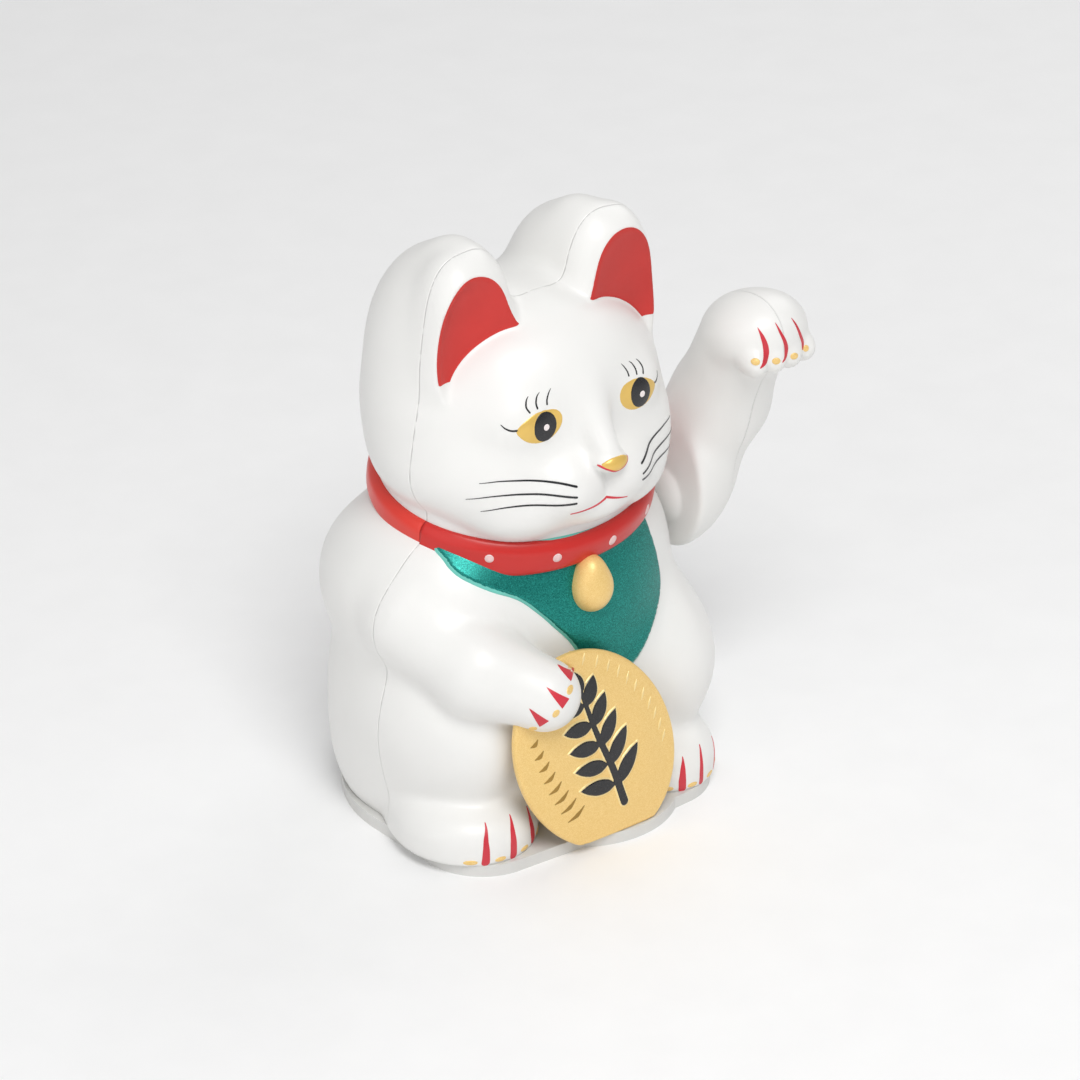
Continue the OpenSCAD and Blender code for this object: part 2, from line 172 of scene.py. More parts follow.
def trunk(p):
    m = fold(p)
    chest = drum(p, (0, 8, 46), (39.5, 33, 42), 2.3)
    right_shoulder = egg(p, (-24, 8, 56), (21.5, 28.5, 22))
    left_shoulder = egg(p, (21, 11, 55), (19.5, 24, 19))
    hip = drum(m, (17.5, 6, 22), (25.5, 31.5, 28), 2.7)
    rump = drum(p, (0.4, 10, 22), (42.5, 33.5, 36), 2.7)
    thigh = egg(m, (25.6, -5.4, 29), (18.3, 22.4, 19.5))
    neck = drum(p, (0, 6, 80), (32.6, 29, 9), 4, (15, 0, 0))
    d = join(join(chest, right_shoulder, 10), left_shoulder, 10)
    d = join(join(d, hip, 10), rump, 10)
    d = join(d, thigh, 3 + 11 * ease(21, 33, m[..., 0]))
    return join(d, neck, 3)


def body(p):
    right_foot = drum(p, (-29, -13.6, 6), (16.5, 18, 9.5), 2.6)
    left_foot = drum(p, (24.5, -14.5, 6), (14.5, 18, 9.5), 2.6)
    heel = egg(p, (-29.5, -7, 4), (14, 14, 12))
    feet = join(join(right_foot, left_foot, 1), heel, 3)
    upper_arm = limb(p, SHOULDER, ELBOW, 12.5, 10.5)
    forearm = limb(p, ELBOW, PAW_C, 10.5, 8.5)
    d = join(join(trunk(p), feet, 4), join(upper_arm, forearm, 6), 3.5)
    seat = np.hypot(p[..., 1] - AXLE[0], p[..., 2] - AXLE[1]) - SEAT_RADIUS
    return cut(d, np.maximum(SEAT_X - p[..., 0], seat), 1.5)


def cat(p):
    return join(body(p), head(p), 1.5)


def raised_arm(p):
    upper_arm = limb(p, (50.5, 4, 68), BEND, 11.6, 11.2)
    shoulder = egg(p, (43, 4, 63.5), (17.5, 14.5, 17))
    forearm = limb(p, BEND, WRIST, 11.2, 10.4)
    paw = egg(p, (56, -14.5, 106.5), (11.5, 11.5, 9.4), (-20, 0, 0))
    d = join(join(upper_arm, shoulder, 8), forearm, 6)
    d = join(d, paw, 5)
    for i in range(4):
        toe = (48.6 + 4.8 * i, -22.6 + abs(i - 1.5) * 0.8, 103.2)
        d = join(d, egg(p, toe, (2.9, 4.2, 3.8)), 2.5)
    hub = egg(p, (43.6, *AXLE), (2.6, 7, 7))
    return join(cut(d, p[..., 0] - ARM_FLAT_X, 2.5), hub, 1)


# ------------------------------------------------------------------ meshes

CORNERS = np.array([(i, j, k) for i in (0, 1) for j in (0, 1) for k in (0, 1)])
EDGES = [(a, b) for a in range(8) for b in range(a + 1, 8)
         if np.abs(CORNERS[a] - CORNERS[b]).sum() == 1]


def gradient(field, p, e=0.05):
    """The direction in which a field grows, at each point."""
    g = np.empty_like(p)
    for k in range(3):
        o = np.zeros(3, np.float32)
        o[k] = e
        g[:, k] = (field(p + o) - field(p - o)) / (2 * e)
    return g


def settle(field, p, level=0.0, rounds=3):
    """Moves points onto the surface where the field has the given level."""
    for _ in range(rounds):
        g = gradient(field, p)
        step = (field(p) - level) / np.maximum((g * g).sum(1), 0.2)
        p = p - np.clip(step, -0.6, 0.6)[:, None] * g
    return p


def surface(field, low, high, step, level=0.0):
    """The surface of a field as points and quads, by surface nets on a grid."""
    axes = [np.arange(l, h + step, step, dtype=np.float32) for l, h in zip(low, high)]
    shape = tuple(len(a) for a in axes)
    v = np.empty(shape, np.float32)
    for i in range(0, shape[0], 12):
        grid = np.meshgrid(axes[0][i:i + 12], axes[1], axes[2], indexing="ij")
        v[i:i + 12] = field(np.stack(grid, -1)) - level
    inside = v < 0
    n = np.zeros(tuple(s - 1 for s in shape), np.int8)
    for i, j, k in CORNERS:
        n += inside[i:shape[0] - 1 + i, j:shape[1] - 1 + j, k:shape[2] - 1 + k]
    cells = np.argwhere((n > 0) & (n < 8))
    index = np.full(n.shape, -1, np.int32)
    index[tuple(cells.T)] = np.arange(len(cells))
    at = [v[tuple((cells + c).T)] for c in CORNERS]
    total = np.zeros((len(cells), 3))
    count = np.zeros(len(cells))
    for a, b in EDGES:
        hit = (at[a] < 0) != (at[b] < 0)
        t = at[a][hit] / (at[a][hit] - at[b][hit])
        total[hit] += CORNERS[a] + t[:, None] * (CORNERS[b] - CORNERS[a])
        count[hit] += 1
    p = (cells + total / count[:, None]) * step + np.array([a[0] for a in axes])
    quads = []
    for ax in range(3):
        o1, o2 = (ax + 1) % 3, (ax + 2) % 3
        lo = [slice(None)] * 3
        hi = [slice(None)] * 3
        lo[ax], hi[ax] = slice(0, -1), slice(1, None)
        flip = inside[tuple(lo)] != inside[tuple(hi)]
        spot = np.argwhere(flip)
        ok = (spot[:, o1] > 0) & (spot[:, o2] > 0)
        ok &= (spot[:, o1] < shape[o1] - 1) & (spot[:, o2] < shape[o2] - 1)
        spot = spot[ok]
        ring = []
        for d1, d2 in ((-1, -1), (0, -1), (0, 0), (-1, 0)):
            c = spot.copy()
            c[:, o1] += d1
            c[:, o2] += d2
            ring.append(index[tuple(c.T)])
        ring = np.stack(ring, 1)
        out = inside[tuple(spot.T)]
        ring[~out] = ring[~out][:, ::-1]
        quads.append(ring)
    return settle(field, p.astype(np.float32), level), np.concatenate(quads)


def make(name, points, faces, material):
    """A smooth-shaded object from points in millimetres."""
    me = bpy.data.meshes.new(name)
    if isinstance(faces, np.ndarray):
        faces = faces.tolist()
    me.from_pydata((np.asarray(points, float) * MM).tolist(), [], faces)
    me.validate()
    me.update()
    me.polygons.foreach_set("use_smooth", [True] * len(me.polygons))
    ob = bpy.data.objects.new(name, me)
    bpy.context.scene.collection.objects.link(ob)
    me.materials.append(material)
    return ob


def place(ob, rides, slot, node=None):
    """Fixes a piece to its body, and has it stand for a CAD node; slot is not used."""
    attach(ob, rides)
    if node:
        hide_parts(node)


def halve(ob, point, normal):
    """Keeps the side of a plane that the normal points to, and closes the cut."""
    bm = bmesh.new()
    bm.from_mesh(ob.data)
    point, normal = Vector(point) * MM, Vector(normal)
    geom = bm.verts[:] + bm.edges[:] + bm.faces[:]
    bmesh.ops.bisect_plane(bm, geom=geom, plane_co=point, plane_no=normal,
                           dist=1e-7, clear_inner=True)
    rim = [e for e in bm.edges if e.is_boundary
           and all(abs((v.co - point).dot(normal)) < 1e-6 for v in e.verts)]
    made = bmesh.ops.triangle_fill(bm, edges=rim, normal=-normal, use_beauty=False)
    for f in made["geom"]:
        if isinstance(f, bmesh.types.BMFace):
            f.smooth = False
            if f.normal.dot(normal) > 0:
                f.normal_flip()
    bm.to_mesh(ob.data)
    bm.free()


def copy_of(ob, name):
    new = bpy.data.objects.new(name, ob.data.copy())
    bpy.context.scene.collection.objects.link(new)
    return new


def hollow(field, low, high, step, wall, inner_step):
    """Outer and inner surfaces of a moulded wall, as one set of points and quads."""
    p, q = surface(field, low, high, step)
    p2, q2 = surface(field, low, high, inner_step, -wall)
    return np.concatenate([p, p2]), np.concatenate([q, q2[:, ::-1] + len(p)])


# ------------------------------------------------------------------ materials


def new_material(name, metal, coat=0.0):
    m = bpy.data.materials.new(name)
    m.use_nodes = True
    shader = m.node_tree.nodes["Principled BSDF"]
    shader.inputs["Metallic"].default_value = metal
    shader.inputs["Coat Weight"].default_value = coat
    shader.inputs["Coat Roughness"].default_value = 0.12
    return m, m.node_tree, shader


def texture(tree, kind, scale, detail=None):
    """A noise or cell pattern that is fixed to the piece."""
    coords = tree.nodes.new("ShaderNodeTexCoord")
    pattern = tree.nodes.new(kind)
    pattern.inputs["Scale"].default_value = scale
    if detail is not None:
        pattern.inputs["Detail"].default_value = detail
    tree.links.new(coords.outputs["Object"], pattern.inputs["Vector"])
    return pattern


def tint(tree, shader, source, dark, light, low, high):
    """Colours the surface from dark to light as the source goes from low to high."""
    ramp = tree.nodes.new("ShaderNodeValToRGB")
    for stop, at, colour in zip(ramp.color_ramp.elements, (low, high), (dark, light)):
        stop.position = at
        stop.color = (*colour, 1)
    tree.links.new(source, ramp.inputs["Fac"])
    tree.links.new(ramp.outputs["Color"], shader.inputs["Base Color"])


def uneven_gloss(tree, shader, source, rough):
    gloss = tree.nodes.new("ShaderNodeMapRange")
    gloss.inputs["To Min"].default_value = rough - 0.06
    gloss.inputs["To Max"].default_value = rough + 0.06
    tree.links.new(source, gloss.inputs["Value"])
    tree.links.new(gloss.outputs["Result"], shader.inputs["Roughness"])


def relief(tree, shader, source, strength, height):
    """A fine bump; its height is in metres."""
    bump = tree.nodes.new("ShaderNodeBump")
    bump.inputs["Strength"].default_value = strength
    bump.inputs["Distance"].default_value = height
    tree.links.new(source, bump.inputs["Height"])
    tree.links.new(bump.outputs["Normal"], shader.inputs["Normal"])


def finish_of(name, colour, rough, metal=0.0, spread=0.03, grain=1400.0, bump=0.05, coat=0.0):
    """A moulded or painted surface: slight colour drift, fine texture and uneven gloss."""
    m, tree, shader = new_material(name, metal, coat)
    drift = texture(tree, "ShaderNodeTexNoise", 60, detail=4)
    dark = [max(0, c * (1 - spread)) for c in colour]
    light = [min(1, c * (1 + spread)) for c in colour]
    tint(tree, shader, drift.outputs["Fac"], dark, light, 0.3, 0.7)
    fine = texture(tree, "ShaderNodeTexNoise", grain, detail=3)
    uneven_gloss(tree, shader, fine.outputs["Fac"], rough)
    relief(tree, shader, fine.outputs["Fac"], bump, 0.0002)
    return m


def flaked(name, dark, light, rough, metal, size):
    """A metallic paint: fine bright flakes in a darker coat."""
    m, tree, shader = new_material(name, metal)
    cells = texture(tree, "ShaderNodeTexVoronoi", size)
    flake = tree.nodes.new("ShaderNodeSeparateColor")
    tree.links.new(cells.outputs["Color"], flake.inputs["Color"])
    tint(tree, shader, flake.outputs["Red"], dark, light, 0.25, 0.95)
    fine = texture(tree, "ShaderNodeTexNoise", 1400, detail=3)
    uneven_gloss(tree, shader, fine.outputs["Fac"], rough)
    relief(tree, shader, flake.outputs["Green"], 0.15, 0.0001)
    return m


WHITE = finish_of("white_shell", (0.83, 0.825, 0.805), 0.40, spread=0.012, bump=0.05, coat=0.08)
RED = finish_of("collar_red", (0.58, 0.02, 0.016), 0.32, spread=0.02, bump=0.0, grain=300.0)
RED_LIGHT = finish_of("collar_red_light", (0.72, 0.045, 0.03), 0.32, spread=0.02, bump=0.0,
                      grain=300.0)
EAR_RED = finish_of("ear_red", (0.56, 0.028, 0.022), 0.5, spread=0.07)
STRIPE_RED = finish_of("stripe_red", (0.62, 0.03, 0.05), 0.4, spread=0.1)
GOLD = flaked("gold_paint", (0.84, 0.56, 0.19), (0.92, 0.66, 0.27), 0.36, 0.2, 7000.0)
# A darker gold for the coin's notches: painted shade.
GOLD_SHADE = finish_of("gold_groove_shade", (0.36, 0.21, 0.04), 0.45, metal=0.3, spread=0.12)
# A lighter gold for raised ridges and rims: painted highlight.
GOLD_HIGHLIGHT = finish_of("gold_ridge_highlight", (0.92, 0.72, 0.34), 0.3, metal=0.35, spread=0.06)
EYE_GOLD = finish_of("eye_gold", (0.76, 0.50, 0.12), 0.32, metal=0.25, spread=0.12, coat=0.2)
INK = finish_of("ink_black", (0.010, 0.010, 0.012), 0.28, spread=0.3, coat=0.2)
DOT = finish_of("dot_paint", (0.80, 0.55, 0.54), 0.4, spread=0.05)
DOT_RING = finish_of("dot_ring", (0.88, 0.80, 0.79), 0.4, spread=0.03)
TEAL = flaked("bib_teal", (0.0, 0.15, 0.13), (0.02, 0.33, 0.28), 0.36, 0.6, 6500.0)
AQUA = finish_of("bib_edge", (0.16, 0.58, 0.50), 0.4, metal=0.15, spread=0.08)
GREY = finish_of("base_grey", (0.68, 0.675, 0.655), 0.5, spread=0.03)
IVORY = finish_of("bobbin_ivory", (0.75, 0.70, 0.56), 0.5)
BLACK = finish_of("black_plastic", (0.025, 0.025, 0.027), 0.45, spread=0.2)
STEEL = finish_of("plated_steel", (0.60, 0.60, 0.59), 0.3, metal=1.0, spread=0.05, grain=2600.0)
CHROME = finish_of("magnet_plate", (0.72, 0.72, 0.74), 0.16, metal=1.0)
CELL = finish_of("cell_jacket", (0.10, 0.11, 0.13), 0.32, spread=0.1, coat=0.3)
COPPER = finish_of("copper_wire", (0.70, 0.30, 0.13), 0.3, metal=0.9, spread=0.15, grain=3000.0,
                   bump=0.4)
BOARD = finish_of("board_green", (0.02, 0.20, 0.07), 0.35, spread=0.12, coat=0.3)
LEAD_RED = finish_of("lead_red", (0.55, 0.03, 0.03), 0.5)
LEAD_BLACK = finish_of("lead_black", (0.02, 0.02, 0.02), 0.5, spread=0.2)

# ------------------------------------------------------------------ shells

points, quads = hollow(cat, (-49, -43, -4), (48, 47, 149), 0.8, WALL, 2.2)
whole = make("whole", points, quads, WHITE)
halve(whole, (0, 0, FLOOR_OF_SHELL), (0, 0, 1))
for name, node, side in (("shell_front", "front_shell", -1), ("shell_rear", "rear_shell", 1)):
    ob = copy_of(whole, name)
    halve(ob, (0, SEAM_Y - side * SEAM_LAP, 0), (0, side, 0))
    place(ob, "cat", "white_shell", node)
bpy.data.objects.remove(whole)

points, quads = hollow(raised_arm, (40, -32, 43), (71, 22, 122), 0.6,
                       ARM_WALL, 1.6)
whole = make("whole", points, quads, WHITE)
for name, node, side in (("arm_inner", "arm_inner_shell", -1), ("arm_outer", "arm_outer_shell", 1)):
    ob = copy_of(whole, name)
    halve(ob, (ARM_SPLIT_X - side * SEAM_LAP, 0, 0), (side, 0, 0))
    place(ob, "arm", "white_shell", node)
bpy.data.objects.remove(whole)

# ------------------------------------------------------------------ painted shapes


class View:
    """A flat drawing held in front of the cat: u runs across it and v up, in millimetres."""

    def __init__(self, azimuth=0.0, elevation=0.0, centre=(0, 0, 0)):
        a, e = math.radians(azimuth), math.radians(elevation)
        self.across = vec(math.cos(a), math.sin(a), 0)
        self.back = vec(math.sin(a) * math.cos(e), -math.cos(a) * math.cos(e), math.sin(e))
        self.up = np.cross(self.back, self.across)
        self.centre = vec(*centre)

    def flat(self, p):
        """Where points in space fall in the drawing."""
        q = p - self.centre
        return np.stack([q @ self.across, q @ self.up], -1)

    def points(self, uv, out):
        """Places in the drawing, held out in front of the cat."""
        p = self.centre + uv[:, :1] * self.across + uv[:, 1:] * self.up
        return (p + out * self.back).astype(np.float32)


def curve(points, closed, parts=6):
    """A smooth line through points, as a list of short steps."""
    p = np.array(points, float)
    n = len(p)
    if closed:
        ring = [p[(i - 1) % n] for i in range(n + 3)]
    else:
        ring = [2 * p[0] - p[1], *p, 2 * p[-1] - p[-2]]
    out = []
    for a, b, c, d in zip(ring, ring[1:], ring[2:], ring[3:]):
        for k in range(parts):
            t = k / parts
            out.append(0.5 * (2 * b + (c - a) * t + (2 * a - 5 * b + 4 * c - d) * t * t
                              + (3 * b - a - 3 * c + d) * t ** 3))
    if not closed:
        out.append(p[-1])
    return np.array(out)


def patch(points, smooth=True):
    """A closed outline, as a function for how deep inside it a place is, and its corners."""
    line = curve(points, True) if smooth else np.array(points, float)

    def depth(uv):
        a, b = line, np.roll(line, -1, 0)
        ab = b - a
        q = uv[:, None] - a
        t = np.clip((q * ab).sum(-1) / ((ab * ab).sum(-1) + 1e-12), 0, 1)
        dist = np.linalg.norm(q - t[..., None] * ab, axis=-1).min(1)
        up = (a[:, 1] > uv[:, None, 1]) != (b[:, 1] > uv[:, None, 1])
        with np.errstate(divide="ignore", invalid="ignore"):
            x = a[:, 0] + (uv[:, None, 1] - a[:, 1]) * ab[:, 0] / ab[:, 1]
        inside = (up & (uv[:, None, 0] < x)).sum(1) % 2 == 1
        return np.where(inside, dist, -dist)

    return depth, line.min(0), line.max(0)


def stroke(points, *widths):
    """A brush stroke along points; its half width follows the widths from start to end."""
    line = curve(points, False)
    s = np.linspace(0, 1, len(line))
    wide = np.interp(s, np.linspace(0, 1, len(widths)), widths)

    def depth(uv):
        best = np.full(len(uv), -1e9)
        for a, b, ra, rb in zip(line, line[1:], wide, wide[1:]):
            ab = b - a
            t = np.clip((uv - a) @ ab / (ab @ ab + 1e-12), 0, 1)
            off = np.linalg.norm(uv - a - t[:, None] * ab, axis=1)
            best = np.maximum(best, ra + (rb - ra) * t - off)
        return best

    w = max(widths)
    return depth, line.min(0) - w, line.max(0) + w


def disc(u, v, ru, rv, tilt=0.0):
    """An oval, turned by an angle in degrees."""
    a = math.radians(tilt)
    ring = [2 * math.pi * i / 24 for i in range(24)]
    oval = [(ru * math.cos(t), rv * math.sin(t)) for t in ring]
    return patch([(u + x * math.cos(a) - y * math.sin(a), v + x * math.sin(a) + y * math.cos(a))
                  for x, y in oval])


SUNK_RIM = 0.04  # how far a coat's rim goes below the surface


def clip(points, tris, s):
    """The part of a triangle mesh where s is positive, cut cleanly where it is zero."""
    s = np.where(np.abs(s) < 1e-5, 1e-5, s)
    tris = tris[(s[tris] > 0).any(1)]
    index, out, inner, faces = {}, [], [], []

    def corner(p, q):
        key = (min(p, q), max(p, q))
        if key not in index:
            index[key] = len(out)
            t = 0.0 if p == q else s[p] / (s[p] - s[q])
            out.append(points[p] + t * (points[q] - points[p]))
            inner.append(s[p] if p == q else 0.0)
        return index[key]

    for tri in tris.tolist():
        poly = []
        for k in range(3):
            p, q = tri[k], tri[(k + 1) % 3]
            if s[p] > 0:
                poly.append(corner(p, p))
            if (s[p] > 0) != (s[q] > 0):
                poly.append(corner(p, q))
        if len(poly) >= 3:
            faces.append(poly)
    return np.array(out), np.array(inner), faces


def flat_mesh(depth, low, high, grid):
    """Triangles that fill a flat shape."""
    us = np.arange(low[0] - grid, high[0] + 2 * grid, grid)
    vs = np.arange(low[1] - grid, high[1] + 2 * grid, grid)
    uv = np.stack(np.meshgrid(us, vs, indexing="ij"), -1).reshape(-1, 2)
    nv = len(vs)
    i, j = np.meshgrid(range(len(us) - 1), range(nv - 1), indexing="ij")
    a = (i * nv + j).ravel()
    tris = np.concatenate([np.stack([a, a + nv, a + nv + 1], 1),
                           np.stack([a, a + nv + 1, a + 1], 1)])
    return clip(uv, tris, depth(uv))


def drop(field, view, uv):
    """Lets flat points fall along the view until they meet the surface, and says which did."""
    p = view.points(uv, 90.0)
    for _ in range(70):
        d = field(p)
        p = p - (np.clip(d, -1, 30) * 0.85)[:, None] * view.back
        if np.abs(d).max() < 0.002:
            break
    return p, np.abs(d) < 0.05


def thicken(field, p, inner, polys, lift, edge):
    """Lifts a patch of surface into a thin coat, with a rounded or upright edge that sinks in.

    inner is each point's depth inside the outline, and edge is how wide the rounding is.
    """
    normal = gradient(field, p.astype(np.float32))
    normal /= np.linalg.norm(normal, axis=1, keepdims=True)
    if edge:
        h = np.clip(inner / edge, 0, 1)
        top = (lift + SUNK_RIM) * np.sqrt(np.maximum(0, 1 - (1 - h) ** 2)) - SUNK_RIM
    else:
        top = np.full(len(p), lift)
    upper = p + top[:, None] * normal
    sides = set()
    for poly in polys:
        sides.update(zip(poly, poly[1:] + poly[:1]))
    rim = [(x, y) for x, y in sorted(sides) if (y, x) not in sides]
    skirt = sorted({v for e in rim for v in e})
    spot = {v: len(upper) + 2 * k for k, v in enumerate(skirt)}
    extra = np.empty((2 * len(skirt), 3))
    extra[0::2] = upper[skirt]
    extra[1::2] = (p - 2 * SUNK_RIM * normal)[skirt]
    walls = [[spot[x], spot[x] + 1, spot[y] + 1, spot[y]] for x, y in rim]
    return np.concatenate([upper, extra]), polys + walls


def mirrored(points, faces):
    """The same faces on both sides of the cat."""
    other = [[v + len(points) for v in f[::-1]] for f in faces]
    return np.concatenate([points, points * (-1, 1, 1)]), faces + other


def paint(name, rides, slot, material, shapes, view, field, grid, lift, edge=0.0, mirror=False):
    """Small painted shapes, drawn in a view and dropped onto the surface."""
    points, faces, base = [], [], 0
    for depth, low, high in shapes:
        uv, inner, polys = flat_mesh(depth, low, high, grid * (1))
        p, landed = drop(field, view, uv)
        polys = [f for f in polys if landed[f].all()]
        p[~landed] = p[landed][0]
        upper, polys = thicken(field, p, inner, polys, lift, edge)
        points.append(upper)
        faces += [[v + base for v in f] for f in polys]
        base += len(upper)
    points = np.concatenate(points)
    if mirror:
        points, faces = mirrored(points, faces)
    ob = make(name, points, faces, material)
    place(ob, rides, slot)
    return ob


def coat(name, slot, material, depth, field, box, grid, lift, edge=0.0, mirror=False):
    """A larger coat: the part of the surface inside a box where depth is positive."""
    points, quads = surface(field, *box, grid * (1))
    tris = np.concatenate([quads[:, :3], quads[:, [0, 2, 3]]])
    p, inner, polys = clip(points, tris, depth(points))
    points, faces = thicken(field, p, inner, polys, lift, edge)
    if mirror:
        points, faces = mirrored(points, faces)
    ob = make(name, points, faces, material)
    place(ob, "cat", slot)
    return ob


FRONT = View()

# The face is drawn for the cat's left side and mirrored, but for the pupils, nose and mouth.
EYE = [(19.7, 106.6), (18.2, 108.3), (15.2, 109.8), (11.9, 110.1), (9.2, 109.4), (8.1, 107.4),
       (8.8, 105.1), (10.9, 103.3), (13.8, 102.6), (16.9, 103.3), (19.0, 105.0)]
paint("eyes", "cat", "gold_paint", EYE_GOLD, [patch(EYE)], FRONT, head,
      grid=0.25, lift=0.10, edge=0.5, mirror=True)
PUPILS = [disc(-12.8, 106.3, 3.1, 3.6, -8), disc(14.4, 106.4, 3.1, 3.6, 8)]
paint("pupils", "cat", "black_paint", INK, PUPILS, FRONT, head, grid=0.2, lift=0.17, edge=0.3)
EYE_LIGHTS = [disc(-12.6, 106.2, 0.85, 0.85), disc(14.7, 106.1, 0.85, 0.85)]
paint("eye_lights", "cat", "white_shell", DOT_RING, EYE_LIGHTS, FRONT, head,
      grid=0.12, lift=0.23, edge=0.2)
LASHES = [stroke([(16.1, 110.3), (16.5, 111.4), (16.0, 112.7), (15.3, 113.5)], 0.2, 0.17, 0.05),
          stroke([(14.1, 110.8), (14.1, 111.9), (13.5, 113.2), (12.7, 114.0)], 0.2, 0.17, 0.05),
          stroke([(11.6, 111.2), (11.4, 112.2), (10.7, 113.5), (10.0, 114.4)], 0.2, 0.15, 0.05),
          stroke([(19.2, 106.8), (20.6, 106.8), (21.6, 107.3), (22.2, 108.1)], 0.24, 0.2, 0.07)]
paint("lashes", "cat", "black_paint", INK, LASHES, FRONT, head, grid=0.1, lift=0.05, mirror=True)
WHISKERS = [stroke([(9.3, 93.0), (12.1, 93.9), (15.5, 94.4), (19.7, 94.9), (23.6, 95.0),
                    (27.2, 94.4)], 0.26, 0.2, 0.06),
            stroke([(9.5, 90.5), (13.7, 91.3), (17.7, 91.6), (21.9, 91.8), (25.6, 91.4),
                    (29.3, 90.2)], 0.24, 0.2, 0.06),
            stroke([(9.5, 88.9), (14.3, 88.8), (19.7, 89.0), (23.6, 88.6), (27.0, 87.4)],
                   0.24, 0.19, 0.06)]
paint("whiskers", "cat", "black_paint", INK, WHISKERS, FRONT, head,
      grid=0.12, lift=0.09, mirror=True)
NOSE = patch([(0, 98.8), (2.0, 98.5), (3.6, 97.5), (3.2, 96.6), (1.6, 95.6), (0, 95.2),
              (-1.6, 95.6), (-3.2, 96.6), (-3.6, 97.5), (-2.0, 98.5)])
paint("nose", "cat", "gold_paint", EYE_GOLD, [NOSE], FRONT, head, grid=0.2, lift=0.10, edge=0.4)
NOSE_LINE = stroke([(-3.9, 97.1), (-2.5, 96.3), (0, 95.3), (2.5, 96.3), (3.9, 97.1)],
                   0.26, 0.32, 0.26)
paint("nose_line", "cat", "red_paint", STRIPE_RED, [NOSE_LINE], FRONT, head,
      grid=0.12, lift=0.16, edge=0.2)
MOUTH = [stroke([(-10.0, 85.8), (-7.1, 86.0), (-3.3, 86.3), (0, 87.0)], 0.14, 0.26, 0.3),
         stroke([(5.6, 85.5), (2.6, 86.2), (0, 87.0)], 0.1, 0.24, 0.3)]
paint("mouth", "cat", "red_paint", STRIPE_RED, MOUTH, FRONT, head, grid=0.12, lift=0.06)


def in_cup(p):
    """Positive on the wall of the ear's hollow, above the brow."""
    on_wall = np.minimum(0.4 - np.abs(ear_cup(p)), dome(p) - 0.3)
    return np.minimum(on_wall, p[..., 2] - EAR_PAINT_FLOOR)


coat("inner_ears", "red_paint", EAR_RED, in_cup, head, ((4, -20, 103), (36, 3, 150)),
     grid=0.4, lift=0.1, mirror=True)

# ------------------------------------------------------------------ collar, bib and bell

NECK_C, NECK, COLLAR_TILT = (0, 6, 78.6), (32.1, 28.9), 11.2
FRONT_DROOP = 2.4  # by how much the front band hangs lower at the cat's right
LEAN = turn(COLLAR_TILT)


def neck_point(angle, out, up):
    """A place on the tilted collar, by its angle round the neck, distance out and height."""
    a = math.radians(angle)
    n = np.array([math.cos(a) / NECK[0], math.sin(a) / NECK[1]])
    n /= np.linalg.norm(n)
    q = np.array([NECK[0] * math.cos(a) + out * n[0], NECK[1] * math.sin(a) + out * n[1], up])
    return LEAN @ q + np.array(NECK_C)


def ring_mesh(name, profile, material, droop, turns=240):
    """A profile of (out, up) places carried round the neck."""
    points = []
    for i in range(turns):
        low = droop * max(0, -math.cos(2 * math.pi * i / turns))
        for out, up in profile:
            drop_here = low * ease(0, -4, up)
            points.append(neck_point(360 * i / turns, out + 0.4 * drop_here, up - drop_here))
    k = len(profile)
    faces = [[i * k + j, ((i + 1) % turns) * k + j, ((i + 1) % turns) * k + (j + 1) % k,
              i * k + (j + 1) % k] for i in range(turns) for j in range(k)]
    return make(name, points, faces, material)


BAND = curve([(-0.5, -4.2), (1.0, -4.3), (2.0, -3.8), (2.4, -2.8), (2.5, -1.0), (2.45, 0.4),
              (2.1, 1.4), (1.3, 2.5), (0.6, 2.9), (-0.5, 2.9)], False, 4).tolist()
for name, node, side, mat, slot, droop in (
        ("collar_band_front", "collar_front", -1, RED, "red_paint", FRONT_DROOP),
        ("collar_band_rear", "collar_rear", 1, RED_LIGHT, "red_paint_light", 0.0)):
    ob = ring_mesh(name, BAND, mat, droop)
    halve(ob, (0, SEAM_Y + side * COLLAR_GAP, 0), (0, side, 0))
    place(ob, "cat", slot, node)


def studs(name, angles, radius, height, sink, material, slot):
    """Low round studs on the collar's outer face."""
    points, faces = [], []
    rings, sides = 5, 20
    for angle in angles:
        base = len(points)
        c = neck_point(angle, 2.4, -0.9)
        out = neck_point(angle, 3.4, -0.9) - c
        side = np.cross(LEAN @ np.array([0, 0, 1.0]), out)
        rise = np.cross(out, side)
        for r in range(rings + 1):
            w = math.pi / 2 * r / rings
            for k in range(sides):
                t = 2 * math.pi * k / sides
                points.append(c + radius * math.cos(w) * (math.cos(t) * side + math.sin(t) * rise)
                              + (height * math.sin(w) - sink) * out)
        for r in range(rings):
            for k in range(sides):
                a, b = base + r * sides + k, base + r * sides + (k + 1) % sides
                faces.append([a, b, b + sides, a + sides])
        faces.append([base + rings * sides + k for k in range(sides)])
        faces.append([base + k for k in reversed(range(sides))])
    place(make(name, points, faces, material), "cat", slot)


STUDS = [-133, -106, -80, -54]  # angles round the neck; the face is at -90
studs("collar_dot_rings", STUDS, 1.7, 0.55, 0.3, DOT_RING, "white_shell")
studs("collar_dots", STUDS, 1.4, 0.68, 0.3, DOT, "red_paint_light")

